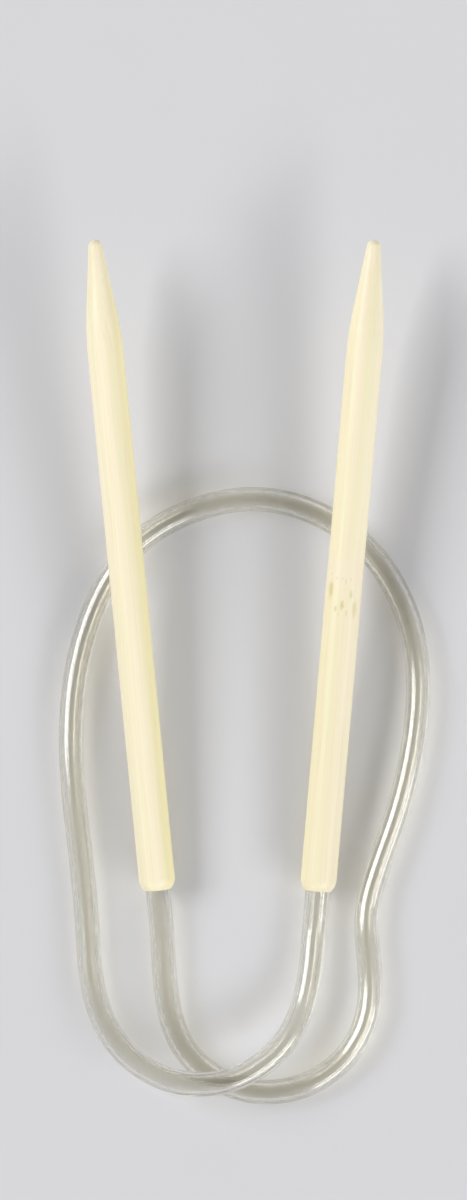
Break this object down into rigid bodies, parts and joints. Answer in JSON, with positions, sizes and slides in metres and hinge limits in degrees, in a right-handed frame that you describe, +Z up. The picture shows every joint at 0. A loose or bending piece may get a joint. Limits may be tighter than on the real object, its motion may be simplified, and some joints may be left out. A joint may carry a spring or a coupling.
{
  "type": "circular knitting needle",
  "caption": "Circular knitting needle: two tapered bamboo points joined by a clear flexible tube that is coiled as for storage.",
  "frame": {"origin": "bottom centre of the box round the two bamboo points, on the table that the part lies on", "axes": "+Y along the points toward their tips, +X to the right as seen from above with the tips away, +Z up from the table"},
  "size_m": [0.0672, 0.1559, 0.0152],
  "materials": {
    "bamboo": "satin",
    "pin_metal": "satin",
    "clear_tube": "gloss"
  },
  "bodies": {
    "tube": {"tube_loop": "clear_tube", "left_tube_neck": "clear_tube", "right_tube_neck": "clear_tube"},
    "left_needle": {"left_needle": "bamboo", "left_joint_pin": "pin_metal", "left_tube_end": "clear_tube"},
    "right_needle": {"right_needle": "bamboo", "right_joint_pin": "pin_metal", "right_tube_end": "clear_tube"}
  },
  "joints": [
    {"name": "left_needle_lift", "type": "hinge", "parent": "tube", "child": "left_needle", "pos_m": [-0.0126, -0.0755, 0.0022], "axis": [0.9954, 0.0958, 0], "range_deg": [0, 45], "stiffness_Nm_per_rad": 0.01, "deforming": ["left_tube_neck"]},
    {"name": "right_needle_lift", "type": "hinge", "parent": "tube", "child": "right_needle", "pos_m": [0.0133, -0.0753, 0.0028], "axis": [0.9963, -0.0854, 0], "range_deg": [0, 45], "stiffness_Nm_per_rad": 0.01, "deforming": ["right_tube_neck"]}
  ]
}
